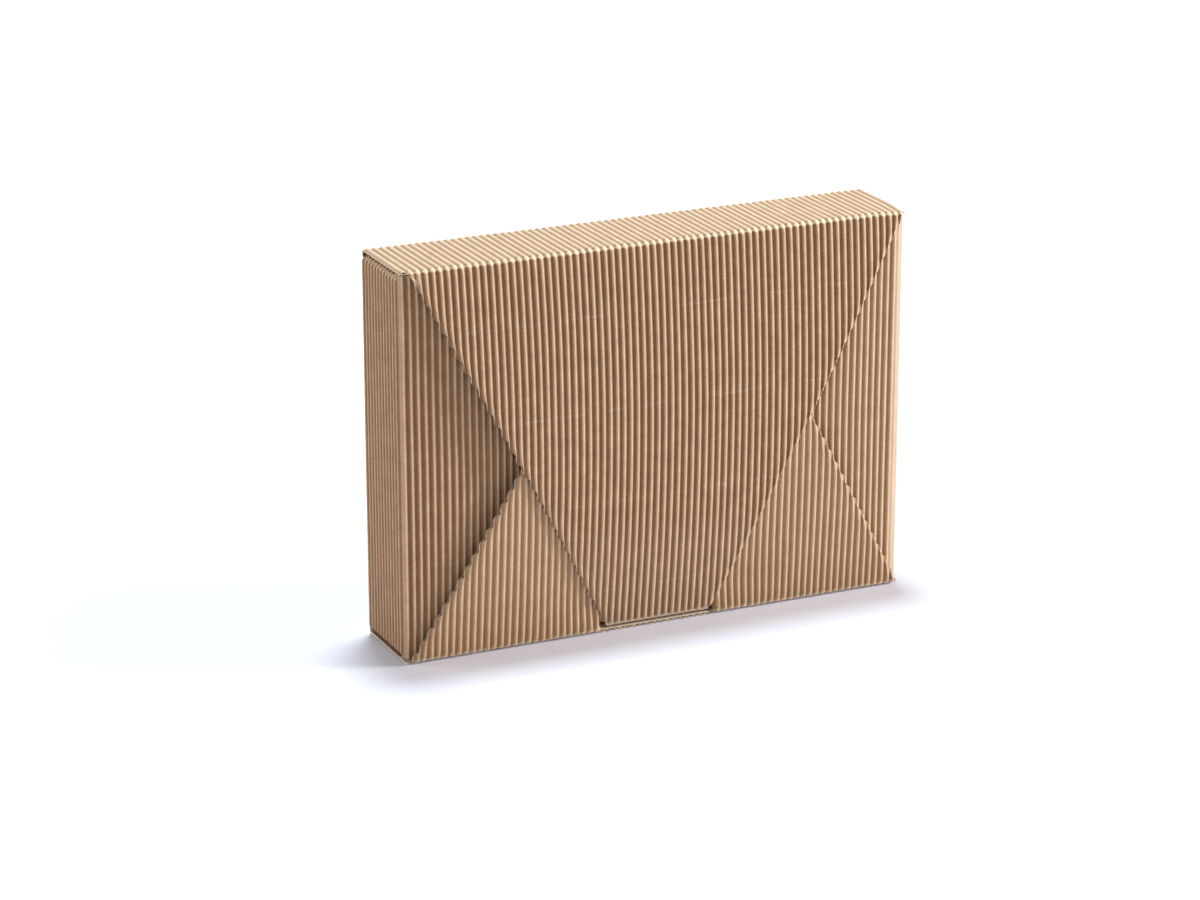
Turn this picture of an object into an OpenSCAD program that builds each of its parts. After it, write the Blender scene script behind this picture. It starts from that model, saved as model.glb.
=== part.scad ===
// Flat mailer box folded from one sheet of single-face corrugated board, standing on its long bottom wall.
// The flutes face out and the flat liner faces in. The front closes like an envelope: the two side flaps
// lie inside, the bottom flap over them, and the closing flap over both, with its tongue in a slot.
// X runs along the width, Y from the front to the back and Z up. The origin is at the middle of the base.
// Sections are drawn at the level of the troughs: the sheet lies inside that line and the flutes outside it.

/* [Box] */
// Width of the box over the flutes of its side walls
box_w = 242; // [180:2:320]
// Height of the box over the flutes of its top and bottom walls
box_h = 176; // [140:2:230]
// Depth of the box over the flutes, from the front creases to the back
box_d = 44.5; // [34:0.5:80]

/* [Board] */
// Distance from one flute to the next, before it is fitted to the width
flute_pitch = 3.3; // [3:0.1:5]
// Number of flat faces that one flute is rounded with
flute_faces = 5; // [3:2:7]
// Thickness of the whole board over a flute
board_t = 1.65; // [1.4:0.05:2.2]
// Thickness of the flat liner
liner_t = 0.3; // [0.2:0.05:0.35]
// Thickness of the fluted paper
medium_t = 0.25; // [0.15:0.05:0.3]
// Length over which the flutes are crushed down beside a crease
crush_l = 3.5; // [2:0.5:5]
// Width of the crease itself, where the flutes are quite flat
crease_w = 0.8; // [0.4:0.1:2]
// Depth by which the creases of the bowed flaps are pressed below their troughs
crease_deep = 0.05; // [0.03:0.01:0.1]

/* [Closing flap] */
// Width of the closing flap at its hinge crease
flap_top_w = 236; // [170:2:236]
// Width of the closing flap at its lower end, and of the tongue there
flap_end_w = 52; // [30:2:90]
// How far the closing flap bows out from a straight line
flap_bow = 6.6; // [5.5:0.1:10]
// Number of flat steps in which a bow is drawn
bow_steps = 6; // [4:2:12]
// Length of the tongue from its crease to its tip
tongue_l = 14; // [8:1:18]
// Amount by which the tongue narrows on each side towards its tip
tongue_taper = 3; // [0:0.5:6]
// Slope of the tongue, up from its crease
tongue_tilt = 8; // [6:1:10]

/* [Bottom flap] */
// Width of the bottom flap at its crease
bottom_flap_w = 236; // [170:2:236]
// Width of the bottom flap at its top edge
bottom_flap_top_w = 128; // [80:2:160]
// Height of the bottom flap's top edge above the base
bottom_flap_h = 98; // [75:1:110]
// How far the bottom flap stands out at its top edge
bottom_flap_out = 4.6; // [2:0.1:5]
// How far the bottom flap bows out from a straight line
bottom_flap_bow = 1; // [0.5:0.1:1.5]
// Clearance at each end of the slot for the tongue
slot_side_gap = 2; // [1:0.5:6]
// Height of the slot's upper edge above the base
slot_top = 5.3; // [5.2:0.1:8]

/* [Side flaps] */
// Length of each side flap from its fold to its inner edge
side_flap_l = 62; // [50:1:75]
// Slope of the side flaps' slanted edges
side_flap_angle = 45; // [40:1:55]
// Distance from the fold at which a side flap bends back in
side_bend_l = 26; // [15:1:35]
// Angle by which a side flap leans out before that bend
side_lean_out = 4; // [0:0.5:4.5]
// Angle by which a side flap leans in after that bend
side_lean_in = 5; // [2:0.5:8]

/* [Corner tabs] */
// Length of the tabs that fold in from the ends of the side walls
tab_l = 30; // [15:1:45]
// Distance by which a tab is set back from the front fold and from the back
tab_setback = 2; // [1:0.5:5]

/* [Clearances] */
// Space between one layer of board and the next
layer_gap = 0.6; // [0.5:0.05:1]
// Space between a corner tab and the top or bottom wall over it
tab_gap = 0.4; // [0.3:0.05:0.8]
// Space between the tongue and the bottom wall under it
slot_gap = 0.35; // [0.3:0.05:0.6]
// Space between the edge of the top wall and the rounded edge of the closing flap
hinge_gap = 0.25; // [0.2:0.05:0.4]

/* [Hidden] */

// Board section
sheet_t = liner_t + medium_t;
flute_h = board_t - sheet_t;
sheet_w = box_w - 2 * flute_h;
flutes_across = round(sheet_w / flute_pitch);
pitch = sheet_w / flutes_across;
rows = [for (i = [0 : flutes_across - 1]) (i - (flutes_across - 1) / 2) * pitch];
foot_angle = 144;
root = sheet_t / 2;
tube_half = 0.3 * pitch;
tube_stop = crush_l + 1;
over = 1.2;
margin = 2;

// Levels of the sheet's outer side, in Y and Z
side_x = box_w / 2 - flute_h;
back_y = box_d - flute_h;
low_z = flute_h;
high_z = box_h - flute_h;
side_fold_y = board_t + layer_gap / 2 + flute_h;
tab_z = board_t + tab_gap + flute_h;

// Hinge of the closing flap, in the middle of the crushed board
hinge_y = flute_h + sheet_t / 2;
hinge_z = box_h - flute_h - sheet_t / 2;
hinge_r = sheet_t / 2;

// Closing flap: it hangs from the hinge and ends one layer in front of the bottom flap
end_out = board_t + layer_gap;
end_z = board_t + slot_gap + flute_h - crush_l * tan(tongue_tilt);
flap_top = [flute_h, hinge_z];
flap_end = [flute_h - end_out, end_z];
tongue_tip = flap_end + tongue_l * [cos(tongue_tilt), sin(tongue_tilt)];

// Bottom flap, from its top edge down to the crease, where it grows out of the bottom wall
bottom_flap_top = [flute_h - bottom_flap_out, bottom_flap_h];
bottom_flap_foot = [flute_h + sheet_t / 6, low_z + sheet_t / 2];
slot_w = flap_end_w + 2 * slot_side_gap;

// Corners of the bottom wall, back panel and top wall
bottom_front = [flute_h, low_z];
bottom_back = [back_y, low_z];
top_back = [back_y, high_z];
top_front = [hinge_y + hinge_r + hinge_gap, high_z];

// Left side flap, left wall and part of the back, seen from above
side_fold = [-side_x, side_fold_y];
side_bend = side_fold + side_bend_l * [cos(side_lean_out), -sin(side_lean_out)];
side_end = side_bend + (side_flap_l - side_bend_l) * [cos(side_lean_in), sin(side_lean_in)];
arm_path = [[-side_x + 3 * margin, back_y], [-side_x, back_y], side_fold, side_bend, side_end];

// Left wall with its two corner tabs, seen from the front
tab_path = [[tab_l - side_x, box_h - tab_z], [-side_x, box_h - tab_z], [-side_x, tab_z], [tab_l - side_x, tab_z]];

// Points and outlines
function unit(v) = v / norm(v);
function left_of(v) = [-v[1], v[0]];
function heading(p, i) = unit(p[min(i + 1, len(p) - 1)] - p[min(i, len(p) - 2)]);
function beside(p, i, d) = let (a = left_of(heading(p, max(i - 1, 0))), b = left_of(heading(p, i)))
    p[i] + d * (a + b) / (1 + a * b);
function ribbon(p) = concat(p, [for (i = [len(p) - 1 : -1 : 0]) beside(p, i, sheet_t)]);

// One flute is a cosine, flat over its crest; its feet may run on some way deep into the sheet
function flute_level(a) = flute_h * (cos(a) - cos(foot_angle)) / (cos(foot_angle / flute_faces) - cos(foot_angle));
function flute_point(x, k) = let (a = foot_angle * (2 * k / flute_faces - 1)) [x + pitch * a / 360, -flute_level(a)];
function foot_point(x, k, next, deep) = let (p = flute_point(x, k), q = flute_point(x, next))
    p + (p - q) * deep / (p[1] - q[1]);
function flute_outline(x, deep) = concat([foot_point(x, 0, 1, deep)],
    [for (k = [1 : flute_faces - 1]) flute_point(x, k)], [foot_point(x, flute_faces, flute_faces - 1, deep)]);
function comb_outline(places, deep = root / 2) = let (x0 = places[0], x1 = places[len(places) - 1]) concat(
    [[x0 - pitch / 2, root], [x0 - pitch / 2, deep]],
    [for (x = places) each flute_outline(x, deep)],
    [[x1 + pitch / 2, deep], [x1 + pitch / 2, root]]);
function tube_outline(x) = [[x - tube_half, medium_t], [x - tube_half / 4, medium_t - flute_h],
    [x + tube_half / 4, medium_t - flute_h], [x + tube_half, medium_t]];

// A bow through two points of an outline, that stands out by b to the right of the way from p to q
function bow_r(p, q, b) = (norm(q - p) * norm(q - p) / 4 + b * b) / (2 * b);
function bow_centre(p, q, b) = (p + q) / 2 + (bow_r(p, q, b) - b) * left_of(unit(q - p));
function bow_angle(p, q, b) = 2 * asin(norm(q - p) / 2 / bow_r(p, q, b));

// The box stands with its middle at the origin, the bow of the closing flap included
front_y = bow_centre(flap_top, flap_end, flap_bow)[0] - bow_r(flap_top, flap_end, flap_bow) - flute_h;
middle_y = (box_d + front_y) / 2;

// An outline in Y and Z, drawn out along X
module along_x(x0, x1) {
    translate([x0, 0, 0]) rotate([90, 0, 90]) linear_extrude(x1 - x0) children();
}

// An outline in X and Z, drawn out along Y
module along_y(y0, y1) {
    translate([0, y1, 0]) rotate([90, 0, 0]) linear_extrude(y1 - y0) children();
}

// A board section drawn out straight from one point in Y and Z to another
module straight(p, q) {
    d = unit(q - p);
    translate([0, q[0], q[1]]) rotate([atan2(d[0], -d[1]), 0, 0]) linear_extrude(norm(q - p)) children();
}

// A board section drawn out along the bow between two points in Y and Z, less a length at each end
module bowed(p, q, b, short_p, short_q) {
    r = bow_r(p, q, b);
    c = bow_centre(p, q, b);
    first = atan2(p[1] - c[1], p[0] - c[0]) + short_p / r * 180 / PI;
    sweep = bow_angle(p, q, b) - (short_p + short_q) / r * 180 / PI;
    translate([0, c[0], c[1]]) rotate([90, 0, 90]) rotate([0, 0, first])
        rotate_extrude(angle = sweep, $fn = max(ceil(bow_steps * 360 / sweep), 13))
            translate([r, 0]) rotate(90) children();
}

// Space that flutes may fill between two points, where start and end are the lengths they are crushed over
module room_for_flutes(p, q, b, start, end) {
    d = unit(q - p);
    n = left_of(d);
    slope = (over * flute_h + root) / flute_h;
    start_deep = start > 0 ? crease_w - root * start / flute_h : -margin;
    end_deep = end > 0 ? crease_w - root * end / flute_h : -margin;
    along_x(-box_w, box_w) polygon([
        p + start_deep * d + root * n,
        p + (start_deep + slope * start) * d - over * flute_h * n,
        p + (start_deep + slope * start) * d - (b + margin) * n,
        q - (end_deep + slope * end) * d - (b + margin) * n,
        q - (end_deep + slope * end) * d - over * flute_h * n,
        q - end_deep * d + root * n]);
}

// Flat board: its sheet, and its flutes crushed down beside the creases
module flat_flutes(p, q, places, start, end) {
    intersection() {
        straight(p, q) polygon(comb_outline(places));
        room_for_flutes(p, q, 0, start, end);
    }
}

// Outline of a flap in X and Z that narrows from one level to another
module flap_outline(z0, w0, z1, w1) {
    along_y(-box_d, box_d) polygon([[-w0 / 2, z0], [w0 / 2, z0], [w1 / 2, z1], [-w1 / 2, z1]]);
}

// Bowed board whose slanted edges cut through the flutes and show their hollows
module bowed_board(p, q, b, start, end) {
    union() {
        bowed(p, q, b, 0, 0) translate([-side_x, crease_deep]) square([2 * side_x, sheet_t - crease_deep]);
        intersection() {
            bowed(p, q, b, 0, 0) polygon(comb_outline(rows, 0));
            room_for_flutes(p, q, b, start, end);
        }
    }
}

module bowed_tubes(p, q, b, short_p, short_q) {
    for (x = rows) bowed(p, q, b, short_p, short_q) polygon(tube_outline(x));
}

module bottom_flap() {
    intersection() {
        difference() {
            bowed_board(bottom_flap_top, bottom_flap_foot, bottom_flap_bow, 0, crush_l);
            bowed_tubes(bottom_flap_top, bottom_flap_foot, bottom_flap_bow, -margin / 2, tube_stop);
        }
        flap_outline(0, bottom_flap_w, bottom_flap_h - 0.1, bottom_flap_top_w);
    }
}

// Back panel, top wall and bottom wall, with the bottom wall's flutes cut open at the slot
module back_and_walls() {
    left_rows = [for (x = rows) if (x < root - slot_w / 2) x];
    slot_rows = [for (x = rows) if (abs(x) <= slot_w / 2 - root) x];
    right_rows = [for (x = rows) if (x > slot_w / 2 - root) x];
    lip = [0, low_z];
    difference() {
        union() {
            along_x(-side_x, side_x) polygon(ribbon([bottom_front, bottom_back, top_back, top_front]));
            along_x(-slot_w / 2, slot_w / 2) polygon(ribbon([lip, bottom_front + [margin, 0]]));
            flat_flutes(bottom_back, top_back, rows, crush_l, crush_l);
            flat_flutes(top_back, top_front, rows, crush_l, crush_l);
            flat_flutes(bottom_front, bottom_back, left_rows, crush_l, crush_l);
            flat_flutes(bottom_front, bottom_back, right_rows, crush_l, crush_l);
            flat_flutes(lip, bottom_back, slot_rows, 0, crush_l);
        }
        for (x = slot_rows) straight(lip - [margin, 0], lip + [tongue_l, 0]) polygon(tube_outline(x));
    }
}

// Slot for the tongue, between the bottom wall and the cut edge of the bottom flap
module slot_cut() {
    translate([-slot_w / 2, -box_d, board_t]) cube([slot_w, box_d + board_t + layer_gap, slot_top - board_t]);
}

// Places of the flutes on one length of the left arm's path
function arm_places(i) = let (run = norm(arm_path[i + 1] - arm_path[i]), count = floor(run / pitch - 0.5))
    [for (k = [0 : count - 1]) run / 2 + (k - (count - 1) / 2) * pitch];

// Moves an outline of flutes onto one length of that path
module on_arm(i) {
    d = heading(arm_path, i);
    translate(arm_path[i]) rotate(atan2(d[1], d[0])) children();
}

// Left side flap: both its slanted edges are hidden under the flaps over it
module side_flap() {
    rise = side_flap_l * tan(side_flap_angle);
    intersection() {
        linear_extrude(box_h) difference() {
            union() {
                polygon(ribbon([arm_path[2], arm_path[3], arm_path[4]]));
                on_arm(2) polygon(comb_outline(arm_places(2)));
                on_arm(3) polygon(comb_outline(arm_places(3)));
            }
            for (i = [2, 3]) on_arm(i) {
                for (x = arm_places(i)) polygon(tube_outline(x));
            }
        }
        along_y(-box_d, box_d) polygon([[-side_x, tab_z], [side_flap_l - side_x, tab_z + rise],
            [side_flap_l - side_x, box_h - tab_z - rise], [-side_x, box_h - tab_z]]);
    }
}

// Left wall with a tab at each end, folded in under the top wall and over the bottom wall
module side_wall() {
    wall_y0 = side_fold_y + tab_setback;
    wall_y1 = back_y - sheet_t - tab_setback;
    wall_h = box_h - 2 * tab_z;
    slope = over * flute_h + root;
    translate([0, 0, tab_z]) linear_extrude(wall_h)
        polygon(ribbon([arm_path[0], arm_path[1], arm_path[2]]));
    intersection() {
        linear_extrude(box_h) on_arm(1) polygon(comb_outline(arm_places(1)));
        along_y(0, box_d) polygon([
            [root - side_x, tab_z + crease_w - root * crush_l / flute_h],
            [root - side_x - slope, tab_z + crease_w + over * crush_l],
            [root - side_x - slope, box_h - tab_z - crease_w - over * crush_l],
            [root - side_x, box_h - tab_z - crease_w + root * crush_l / flute_h]]);
    }
    intersection() {
        along_y(wall_y0, wall_y1) polygon(ribbon(tab_path));
        linear_extrude(box_h) polygon([[-box_w, wall_y0 - margin], [-box_w, wall_y1 + margin],
            [-side_x + margin, wall_y1 + margin], [tab_l + margin - side_x, wall_y1 - tab_l / 4],
            [tab_l + margin - side_x, wall_y0 + tab_l / 4], [-side_x + margin, wall_y0 - margin]]);
    }
}

module box_body() {
    color("burlywood") translate([0, -middle_y, 0]) {
        difference() {
            union() {
                back_and_walls();
                bottom_flap();
            }
            slot_cut();
        }
        for (turn = [0, 1]) mirror([turn, 0, 0]) {
            side_wall();
            side_flap();
        }
    }
}

// Tongue at the lower end of the closing flap, narrower at its tip
module tongue() {
    tongue_rows = [for (x = rows) if (abs(x) < flap_end_w / 2 + pitch) x];
    intersection() {
        difference() {
            union() {
                along_x(-flap_end_w / 2, flap_end_w / 2) polygon(ribbon([flap_end, tongue_tip]));
                flat_flutes(flap_end, tongue_tip, tongue_rows, crush_l, 0);
            }
            for (x = tongue_rows) translate([0, tube_stop * cos(tongue_tilt), tube_stop * sin(tongue_tilt)])
                straight(flap_end, tongue_tip) polygon(tube_outline(x));
        }
        linear_extrude(box_h) polygon([[-flap_end_w / 2 + 0.01, -box_d], [flap_end_w / 2 - 0.01, -box_d],
            [flap_end_w / 2 - 0.01, crush_l], [flap_end_w / 2 - tongue_taper, tongue_tip[0]],
            [flap_end_w / 2 - tongue_taper, box_d], [tongue_taper - flap_end_w / 2, box_d],
            [tongue_taper - flap_end_w / 2, tongue_tip[0]], [-flap_end_w / 2 + 0.01, crush_l]]);
    }
}

// Closing flap with a rounded edge at its hinge crease
module closing_flap() {
    color("tan") translate([0, -middle_y, 0]) {
        intersection() {
            difference() {
                union() {
                    bowed_board(flap_top, flap_end, flap_bow, crush_l, crush_l);
                    translate([-side_x, hinge_y, hinge_z]) rotate([0, 90, 0])
                        cylinder(r = hinge_r, h = 2 * side_x, $fn = 24);
                }
                bowed_tubes(flap_top, flap_end, flap_bow, tube_stop, tube_stop);
            }
            flap_outline(0, flap_end_w, box_h, flap_top_w);
        }
        tongue();
    }
}

box_body();
closing_flap();
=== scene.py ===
"""A mailer box of single-face corrugated board, dressed round its construction frame.

The board is made as the real one is: each length is a flat grid, is cut to its outline, gets its flutes,
and is folded. The fluted paper and the liner under it are two thin sheets. Every length lies on one flat
pattern: v runs along the flutes, from the tongue over the closing flap, the top wall, the back and the
bottom wall to the bottom flap, and u runs across them, out to the side walls and the side flaps. Lengths in
the functions are in millimetres, with the front creases at y = 0, and place() brings them into the frame.
"""

import math

import bpy
import numpy as np
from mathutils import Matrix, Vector


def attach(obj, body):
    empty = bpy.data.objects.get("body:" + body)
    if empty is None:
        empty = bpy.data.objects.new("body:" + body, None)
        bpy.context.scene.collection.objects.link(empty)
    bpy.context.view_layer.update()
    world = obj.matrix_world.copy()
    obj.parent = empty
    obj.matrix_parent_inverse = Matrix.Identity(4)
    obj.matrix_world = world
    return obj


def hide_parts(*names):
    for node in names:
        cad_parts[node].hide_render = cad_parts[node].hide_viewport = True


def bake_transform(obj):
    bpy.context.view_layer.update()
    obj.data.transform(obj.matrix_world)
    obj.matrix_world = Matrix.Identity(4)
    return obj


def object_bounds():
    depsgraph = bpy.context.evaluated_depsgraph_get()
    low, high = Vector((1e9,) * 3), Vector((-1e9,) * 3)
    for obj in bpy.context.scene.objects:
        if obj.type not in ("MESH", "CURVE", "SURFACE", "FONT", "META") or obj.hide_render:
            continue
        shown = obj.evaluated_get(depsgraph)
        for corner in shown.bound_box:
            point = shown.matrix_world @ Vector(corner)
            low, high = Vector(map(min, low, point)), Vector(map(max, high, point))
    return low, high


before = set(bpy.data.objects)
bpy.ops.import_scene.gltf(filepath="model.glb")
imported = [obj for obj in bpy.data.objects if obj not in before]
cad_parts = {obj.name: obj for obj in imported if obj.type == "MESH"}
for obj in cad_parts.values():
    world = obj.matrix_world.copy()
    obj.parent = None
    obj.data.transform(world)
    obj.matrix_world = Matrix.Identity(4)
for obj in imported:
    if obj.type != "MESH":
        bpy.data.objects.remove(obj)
CAD_LOW, CAD_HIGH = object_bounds()

bl_info = {
    "name": "Corrugated mailer box",
    "version": (1, 0, 0),
    "blender": (4, 5, 0),
    "location": "View3D > Sidebar > Mailer Box",
    "description": "Builds a mailer box of fluted kraft board round its construction frame",
    "category": "Object",
}

MM = 0.001
BOX_W = (CAD_HIGH.x - CAD_LOW.x) / MM
BOX_H = (CAD_HIGH.z - CAD_LOW.z) / MM


# Sizes and colours that a user may change


def length(name, description, default, low, high):
    """A length, given here in millimetres and kept by Blender in metres."""
    return bpy.props.FloatProperty(name=name, description=description, default=default * MM, min=low * MM,
                                   max=high * MM, unit="LENGTH", precision=5)


def tint(name, description, default):
    return bpy.props.FloatVectorProperty(name=name, description=description, default=default, size=3,
                                         subtype="COLOR", min=0, max=1)


def share(name, description, default):
    return bpy.props.FloatProperty(name=name, description=description, default=default, min=0, max=1,
                                   subtype="FACTOR")


def power(name, description, default):
    return bpy.props.FloatProperty(name=name, description=description, default=default, min=0, max=500,
                                   unit="POWER")


class BoardProps(bpy.types.PropertyGroup):
    """Section of the single-face board."""

    pitch: length("Flute pitch", "Distance from one flute to the next, before it is fitted to the width",
                  3.3, 2, 6)
    height: length("Flute height", "Height of a flute over the troughs", 1.1, 0.4, 3)
    medium: length("Fluted paper", "Thickness of the fluted paper", 0.25, 0.1, 0.5)
    liner: length("Liner", "Thickness of the flat liner", 0.3, 0.1, 0.6)
    samples: bpy.props.IntProperty(
        name="Faces per flute", description="Columns of faces that round one flute", default=8, min=4, max=12)
    crush: length("Crushed length", "Length over which flutes are crushed beside a crease", 2.0, 0.5, 6)
    crush_top: length("Crushed length at the top",
                      "Length over which flutes are crushed at the top front crease", 0.95, 0.5, 6)
    recede: length("Receding crests", "How far the crests of the flutes draw back from a slanted cut",
                   1.15, 0, 1.8)


class FoldProps(bpy.types.PropertyGroup):
    """How the flaps stand."""

    depth: length("Depth", "Depth of the box from the front creases to the back", 44.5, 30, 80)
    bow_left: length("Bow on the left", "How far the closing flap bows out at its left", 7.4, 0, 7.6)
    bow_middle: length("Bow in the middle", "How far the closing flap bows out in its middle", 5.9, 0, 7.6)
    bow_right: length("Bow on the right", "How far the closing flap bows out at its right", 4.9, 0, 7.6)
    press_in: length("Pressed in", "How far the closing flap is pressed in above its tongue", 0.5, 0, 3)
    side_bulge: length("Bulge of the side flaps", "How far the side flaps bulge out", 1.8, 0, 2.5)


class PaperProps(bpy.types.PropertyGroup):
    """Kraft paper."""

    # The crests keep the rubbed paper's own colour; the sides of the flutes and the troughs are darkened with
    # painted shade
    light: tint("Rubbed crests", "Colour of the crests of the flutes", (0.56, 0.393, 0.262))
    middle: tint("Sides of the flutes", "Colour of the paper between a crest and a trough",
                 (0.335, 0.178, 0.086))
    painted_trough_shade: tint("Troughs", "Colour of the paper between the flutes", (0.195, 0.089, 0.031))
    # Painted fill light: a paler, warmer brown mixed into whole pieces, most into the bottom flap
    handled: tint("Handled board", "Warmer brown that board takes on where hands rub it", (0.64, 0.42, 0.24))
    # Mixed in for crushed fibres and also for painted light: crest-end highlights, sheen on the top wall,
    # fill light low on the closing flap
    crease: tint("Broken fibres", "Colour of paper that is crushed at a crease or cut at an edge",
                 (0.69, 0.575, 0.445))
    edge: tint("Cut edges", "Colour of the paper's cut edges", (0.85, 0.70, 0.53))
    roughness: share("Roughness", "Roughness of the paper", 0.65)
    sheen: share("Fibre sheen", "Pale sheen of the fibres at a low angle", 0.12)


class StageProps(bpy.types.PropertyGroup):
    """Camera, light and floor."""

    lens: bpy.props.FloatProperty(
        name="Lens", description="Focal length over a 36 mm wide sensor", default=113.94, min=20, max=300)
    key: power("Overhead light", "Power of the overhead light", 29)
    side: power("Side light", "Power of the light on the right", 31)
    left: power("Left light", "Power of the soft light on the left", 7)
    front: power("Front light", "Power of the small light in front", 5.5)
    fill: bpy.props.FloatProperty(
        name="Surroundings", description="Strength of the light from all round", default=0.13, min=0, max=2)
    shade: share("Floor lift", "How much brighter the floor shows to the camera", 0.07)


# Noise and smooth steps

NOISE_CELLS = 64


def soft_noise(x, y, seed):
    """Smooth noise between -1 and 1 over arrays x and y, one cell for each unit."""
    table = np.random.default_rng(seed).uniform(-1, 1, (NOISE_CELLS, NOISE_CELLS))
    x, y = np.broadcast_arrays(np.asarray(x, float), np.asarray(y, float))
    left, low = np.floor(x).astype(int), np.floor(y).astype(int)
    fx, fy = x - left, y - low
    fx, fy = fx * fx * (3 - 2 * fx), fy * fy * (3 - 2 * fy)

    def corner(i, j):
        return table[(left + i) % NOISE_CELLS, (low + j) % NOISE_CELLS]

    below = corner(0, 0) * (1 - fx) + corner(1, 0) * fx
    above = corner(0, 1) * (1 - fx) + corner(1, 1) * fx
    return below * (1 - fy) + above * fy


def smooth_step(t):
    """0 where t is below 0, 1 where it is above 1, and a smooth rise between them."""
    t = np.clip(t, 0, 1)
    return t * t * (3 - 2 * t)


def smooth_max(a, b, width):
    """The larger of two surfaces, with the seam between them rounded over a width."""
    mix = np.clip(0.5 + 0.5 * (b - a) / width, 0, 1)
    return a * (1 - mix) + b * mix + width * mix * (1 - mix)


def nearest(v, *creases):
    """The distance of each place to the nearest crease."""
    return np.min([np.abs(v - crease) for crease in creases], axis=0)


# The folded path of the board


class Path:
    """A way along the level of the troughs, with rounded corners, as seen along its creases.

    The fluted side lies to the left of the way. corners holds the length of way at the middle of each corner,
    and zero_at names one or more corners, whose mean is the zero of that length.
    """

    def __init__(self, points, radii, zero_at, step=0.05):
        points = [np.array(p, float) for p in points]
        line, marks = [points[0]], []
        for before, here, after, radius in zip(points, points[1:], points[2:], radii):
            a, b = here - before, after - here
            a, b = a / np.linalg.norm(a), b / np.linalg.norm(b)
            turn = math.atan2(a[0] * b[1] - a[1] * b[0], a @ b)
            start = here - radius * math.tan(abs(turn) / 2) * a
            steps = max(int(radius * abs(turn) / step), 2)
            side = np.array([-a[1], a[0]]) * math.copysign(1, turn)
            for k in range(steps + 1):
                angle = abs(turn) * k / steps
                line.append(start + radius * (side * (1 - math.cos(angle)) + a * math.sin(angle)))
            marks.append(len(line) - 1 - steps // 2)
        line.append(points[-1])
        line = np.array(line)
        length_so_far = np.concatenate([[0], np.cumsum(np.linalg.norm(np.diff(line, axis=0), axis=1))])
        self.length = length_so_far - np.mean([length_so_far[marks[k]] for k in zero_at])
        self.corners = [float(self.length[m]) for m in marks]
        way = np.gradient(line, axis=0)
        way /= np.linalg.norm(way, axis=1)[:, None]
        self.line, self.left = line, np.stack([-way[:, 1], way[:, 0]], 1)

    def at(self, s, out):
        """Both coordinates of the points at length s of the way and a distance out from it."""
        on = [np.interp(s, self.length, self.line[:, k]) for k in (0, 1)]
        side = [np.interp(s, self.length, self.left[:, k]) for k in (0, 1)]
        norm = np.hypot(*side)
        return on[0] + side[0] / norm * out, on[1] + side[1] / norm * out


def rows_along(start, end, creases, coarse, fine=0.45, near=1.0, growth=0.33):
    """Stations from start to end, a fine step apart near the creases and up to a coarse one elsewhere."""
    marks, here = [start], start
    while here < end:
        gap = min(abs(here + fine - c) for c in creases)
        here += min(fine + max(gap - near, 0) * growth, coarse)
        marks.append(min(here, end))
    if len(marks) > 2 and marks[-1] - marks[-2] < 0.3 * fine:
        del marks[-2]
    return np.array(marks)


# Board

SEED = 11
HEIGHT_VARIES = 0.035  # share of its height by which a flute varies
CREST_LEAN = 0.42  # how far half-crushed crests lean over
FLUTE_DRIFT, SHEET_DRIFT = 0.07, 0.11  # how far one flute, and a patch of board, lies out of place
CRUSHED_ROUGH = 0.09
CREST_POWER, CREST_POWER_RISE = 0.5, 0.65  # form of a crest where it is crushed, and what it gains upright
RISE_POWER = 0.8  # how fast the flutes rise beside a crease
CRUSHED_LIFT = 0.8  # crushed paper is nearly as pale as a crest

# Places along the closing flap where the fluting rolls left faint marks across the flutes
MARK_START, MARK_SPACING = -28.0, 42.0
MARK_SHIFT, MARK_WIDTH = 0.07, 0.9
CROSS_MARKS = tuple(MARK_START - k * MARK_SPACING for k in range(4))

DRAWN_L = 3.4  # how far from a slanted cut the paper draws back
LINER_DRAWN = 0.85  # how much of that the liner follows
LINER_STEP, SIDE_LINER_STEP = 4, 5  # columns of the fluted paper to one of the liner
SMOOTH_ANGLE = math.radians(55)


def board():
    """The board's sizes in millimetres, with the pitch fitted so that whole flutes fill the width."""
    p = bpy.context.scene.mailer_board
    keys = ("height", "medium", "liner", "crush", "crush_top", "recede")
    sizes = {key: getattr(p, key) / MM for key in keys}
    width = BOX_W - 2 * sizes["height"]
    pitch = width / round(width / (p.pitch / MM))
    return {**sizes, "samples": p.samples, "width": width, "pitch": pitch}


def wave(b, u):
    """1 on the crests of the flutes and -1 in the troughs."""
    return np.cos(2 * math.pi * u / b["pitch"])


def flute_form(b, u, v, open_up):
    """Sideways shift, height and lift of the fluted paper at place u across the flutes and v along them.

    open_up runs from 0 on a crease, where the flutes are crushed flat, to 1 where they stand at full height.
    The lift runs from 0 in a trough to 1 on a crest.
    """
    # Each noise has cells of its own size, so that the patterns don't line up
    flute = np.round(u / b["pitch"])
    lift = np.clip(0.5 + 0.5 * wave(b, u), 0, 1) ** (CREST_POWER + CREST_POWER_RISE * open_up)
    uneven = 1 - HEIGHT_VARIES + HEIGHT_VARIES * soft_noise(flute * 0.71, v / 38, SEED)
    lean = soft_noise(flute * 1.37, v / 6, SEED + 1) * CREST_LEAN * lift * open_up * (1 - open_up) * 4
    drift = (FLUTE_DRIFT * soft_noise(flute * 0.61, v / 90, SEED + 2)
             + SHEET_DRIFT * soft_noise(u / 26, v / 33, SEED + 3))
    mark = sum(MARK_SHIFT * np.exp(-((v - spot) / MARK_WIDTH) ** 2) * soft_noise(flute * 0.9, spot, SEED + 5)
               for spot in CROSS_MARKS)
    rough = CRUSHED_ROUGH * soft_noise(u / 0.8, v / 0.8, SEED + 4) * (1 - open_up)
    height = b["height"] * lift * uneven * open_up ** RISE_POWER + rough
    return drift + lean + mark, np.clip(height, 0, b["height"]), lift


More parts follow.
